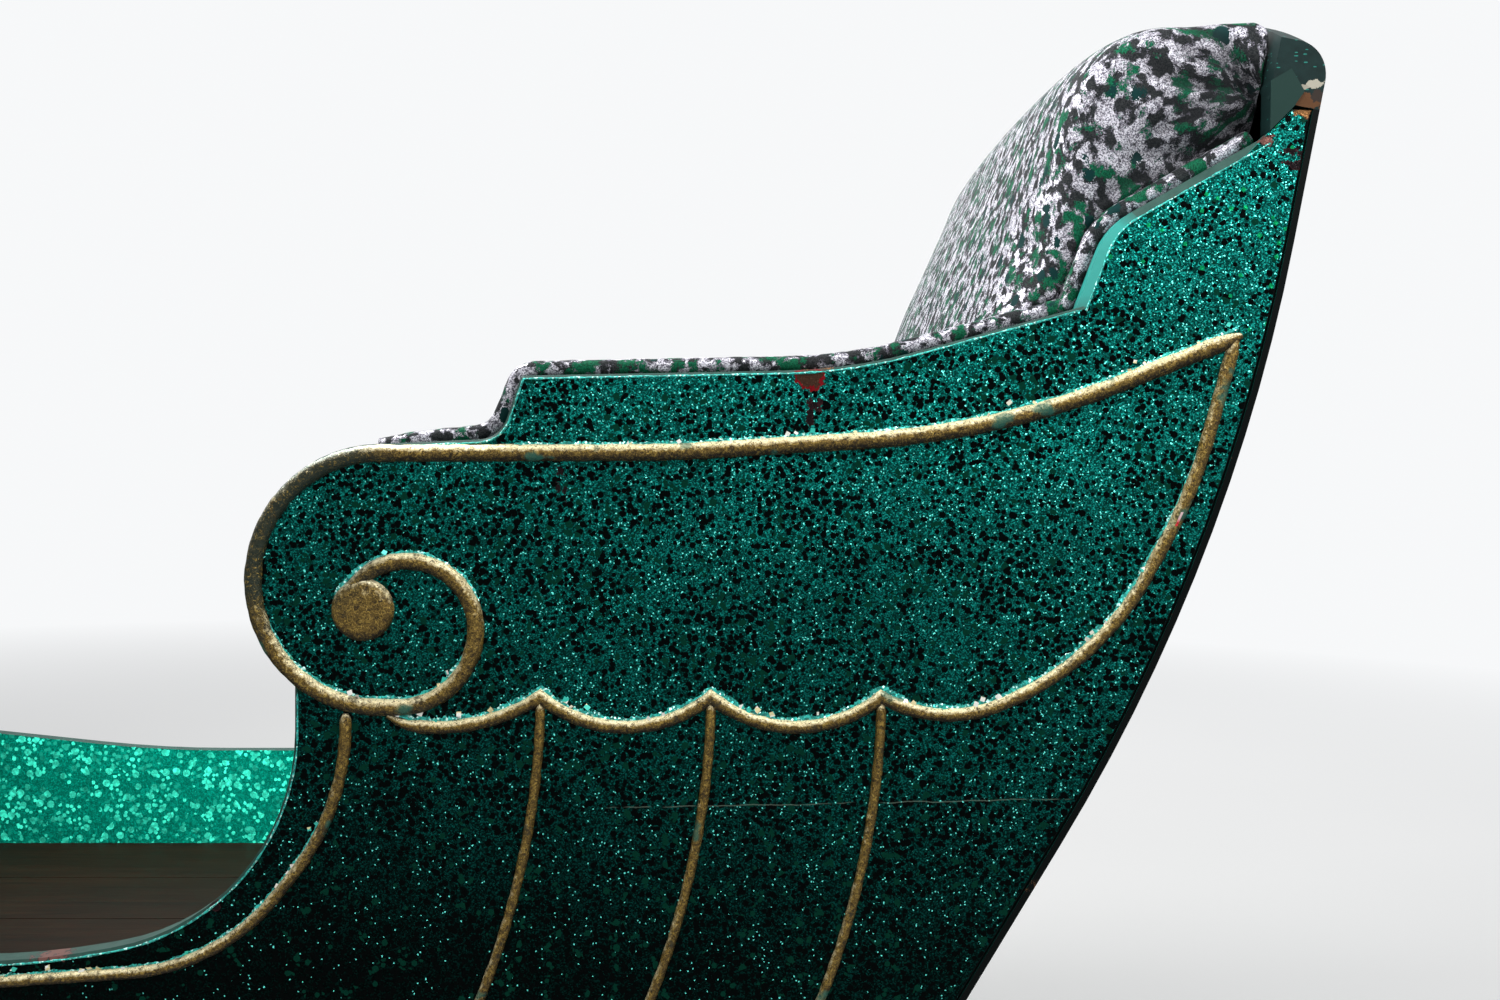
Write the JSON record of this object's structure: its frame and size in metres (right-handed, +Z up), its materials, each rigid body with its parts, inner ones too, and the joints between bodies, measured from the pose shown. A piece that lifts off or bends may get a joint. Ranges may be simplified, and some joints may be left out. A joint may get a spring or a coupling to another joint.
{
  "type": "horse drawn sleigh",
  "caption": "Two-seat horse drawn sleigh with scrolled glitter-painted side boards, gilt beads, brocade cushions, wooden runners with iron shoes, and hinged shafts with a swingletree.",
  "frame": {"origin": "on the ground, at the middle of the whole sleigh's length and width, with its shafts down", "axes": "+X towards the rear, +Y towards the right-hand side seen by the driver, +Z up"},
  "size_m": [4.3846, 1.014, 1.477],
  "materials": {
    "glitter_board": "green glitter paint on boards, worn at the edges",
    "gilt": "brushed antique gold paint",
    "dark_paint": "dark green paint, satin",
    "floor_wood": "bare brown boards",
    "brocade": "charcoal and green brocade with silver thread",
    "runner_paint": "dark green paint, worn",
    "iron": "dark worn iron",
    "shaft_wood": "oiled ash"
  },
  "bodies": {
    "root": {"arm_pad_left": "brocade", "arm_pad_right": "brocade", "back_cushion": "brocade", "back_panel": "dark_paint", "crest_rail": "dark_paint", "cross_beams": "runner_paint", "dash_panel": "dark_paint", "dash_roll": "dark_paint", "dash_stays": "iron", "dip_bead_left": "gilt", "dip_bead_right": "gilt", "floor_bearers": "floor_wood", "floor_planks": "floor_wood", "hinge_pins": "iron", "hinge_plates": "iron", "inner_back": "floor_wood", "nose_bar": "runner_paint", "posts_left": "runner_paint", "posts_right": "runner_paint", "ribs_left": "gilt", "ribs_right": "gilt", "runner_left": "runner_paint", "runner_right": "runner_paint", "runner_shoe_left": "iron", "runner_shoe_right": "iron", "scallop_bead_left": "gilt", "scallop_bead_right": "gilt", "scroll_bead_left": "gilt", "scroll_bead_right": "gilt", "seat_board": "floor_wood", "seat_cushion": "brocade", "seat_riser": "floor_wood", "side_board_left": "glitter_board", "side_board_right": "glitter_board"},
    "shafts": {"shaft_crossbar": "shaft_wood", "shaft_eyes": "iron", "shaft_left": "shaft_wood", "shaft_right": "shaft_wood", "swingle_bolt": "iron"},
    "swingletree": {"swingletree": "shaft_wood", "trace_eyes": "iron"}
  },
  "joints": [
    {"name": "shaft_hinge", "type": "hinge", "parent": "root", "child": "shafts", "pos_m": [-0.05487, 0, 0.262], "axis": [0, 1, 0], "range_deg": [0, 75]},
    {"name": "swingle_pivot", "type": "hinge", "parent": "shafts", "child": "swingletree", "pos_m": [-0.4911, 0, 0.29106], "axis": [-0.1149, 0, 0.9934], "range_deg": [-25, 25]}
  ]
}
